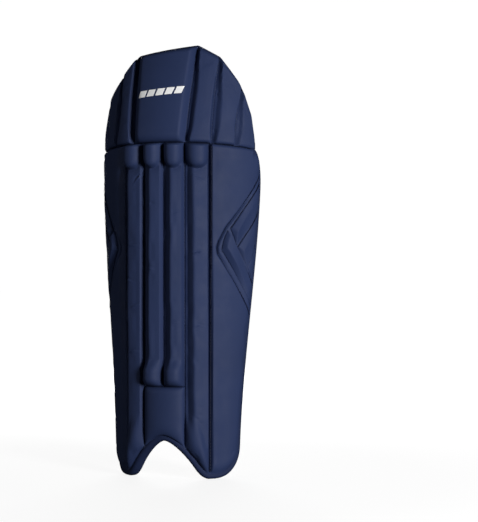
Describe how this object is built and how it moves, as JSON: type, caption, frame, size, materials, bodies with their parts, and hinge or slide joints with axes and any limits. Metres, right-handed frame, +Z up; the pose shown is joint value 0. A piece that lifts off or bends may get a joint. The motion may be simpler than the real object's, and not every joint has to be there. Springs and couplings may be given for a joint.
{
  "type": "cricket leg pad",
  "caption": "Moulded cricket leg guard: padded shin with vertical bolsters and curved side wings, a flexing knee flap, a soft leg-side lining and two hook-and-loop straps on plastic rings.",
  "frame": {"origin": "middle of the bounding box in plan, on the surface that the pad stands on", "axes": "+Z up along the shin; the face points to -Y and the leg is on the +Y side; +X is the wing that the straps are pressed on to"},
  "size_m": [0.2596, 0.1227, 0.66],
  "materials": {
    "navy_cover": "satin, fine-grained polyurethane leather",
    "navy_binding": "satin",
    "white_lining": "soft matt polyurethane leather",
    "white_mesh": "open diamond knit",
    "foam": "matt closed-cell foam",
    "board": "matt",
    "cane": "bare split cane",
    "webbing": "woven elastic with black stripes",
    "ring_plastic": "semi-gloss",
    "hook": "hook tape",
    "loop": "loop tape"
  },
  "bodies": {
    "shin": {"shin_board": "board", "bolster_inner_left": "foam", "bolster_inner_right": "foam", "bolster_outer_left": "foam", "bolster_outer_right": "foam", "wing_foam_left": "foam", "wing_foam_right": "foam", "instep_foam": "foam", "cane_inner_left": "cane", "cane_inner_right": "cane", "cane_outer_left": "cane", "cane_outer_right": "cane", "wing_rib_left_1": "navy_cover", "wing_rib_left_2": "navy_cover", "wing_rib_left_3": "navy_cover", "wing_rib_left_4": "navy_cover", "wing_rib_right_1": "navy_cover", "wing_rib_right_2": "navy_cover", "wing_rib_right_3": "navy_cover", "wing_rib_right_4": "navy_cover", "shin_cover": "navy_cover", "edge_binding": "navy_binding", "lining_bolster_centre": "white_lining", "lining_bolster_left": "white_lining", "lining_bolster_right": "white_lining", "lining_edge_left": "white_lining", "lining_edge_right": "white_lining", "instep_mesh_centre": "white_mesh", "instep_mesh_left": "white_mesh", "instep_mesh_right": "white_mesh", "strap_anchor_upper": "webbing", "strap_stub_upper": "webbing", "loop_patch_upper": "loop", "strap_anchor_lower": "webbing", "strap_stub_lower": "webbing", "loop_patch_lower": "loop"},
    "knee_flap": {"knee_board": "board", "knee_cover": "navy_cover", "knee_lining": "white_lining", "knee_binding": "white_lining", "knee_foam_centre": "foam", "knee_foam_inner_left": "foam", "knee_foam_inner_right": "foam", "knee_foam_middle_left": "foam", "knee_foam_middle_right": "foam", "knee_foam_outer_left": "foam", "knee_foam_outer_right": "foam"},
    "ring_upper": {"ring_upper": "ring_plastic"},
    "strap_upper": {"strap_upper": "webbing", "hook_patch_upper": "hook"},
    "ring_lower": {"ring_lower": "ring_plastic"},
    "strap_lower": {"strap_lower": "webbing", "hook_patch_lower": "hook"}
  },
  "joints": [
    {"name": "knee_flap_flex", "type": "hinge", "parent": "shin", "child": "knee_flap", "pos_m": [0, -0.0459, 0.514], "axis": [1, 0, 0], "range_deg": [0, 20], "stiffness_Nm_per_rad": 1.5},
    {"name": "ring_upper_turn", "type": "hinge", "parent": "shin", "child": "ring_upper", "pos_m": [-0.08409, 0.05252, 0.387], "axis": [0, 0, 1], "range_deg": [0, 60]},
    {"name": "strap_upper_open", "type": "hinge", "parent": "ring_upper", "child": "strap_upper", "pos_m": [-0.06209, 0.05252, 0.387], "axis": [0, 0, 1], "range_deg": [0, 100]},
    {"name": "ring_lower_turn", "type": "hinge", "parent": "shin", "child": "ring_lower", "pos_m": [-0.06898, 0.04171, 0.185], "axis": [0, 0, 1], "range_deg": [0, 60]},
    {"name": "strap_lower_open", "type": "hinge", "parent": "ring_lower", "child": "strap_lower", "pos_m": [-0.04698, 0.04171, 0.185], "axis": [0, 0, 1], "range_deg": [0, 100]}
  ]
}
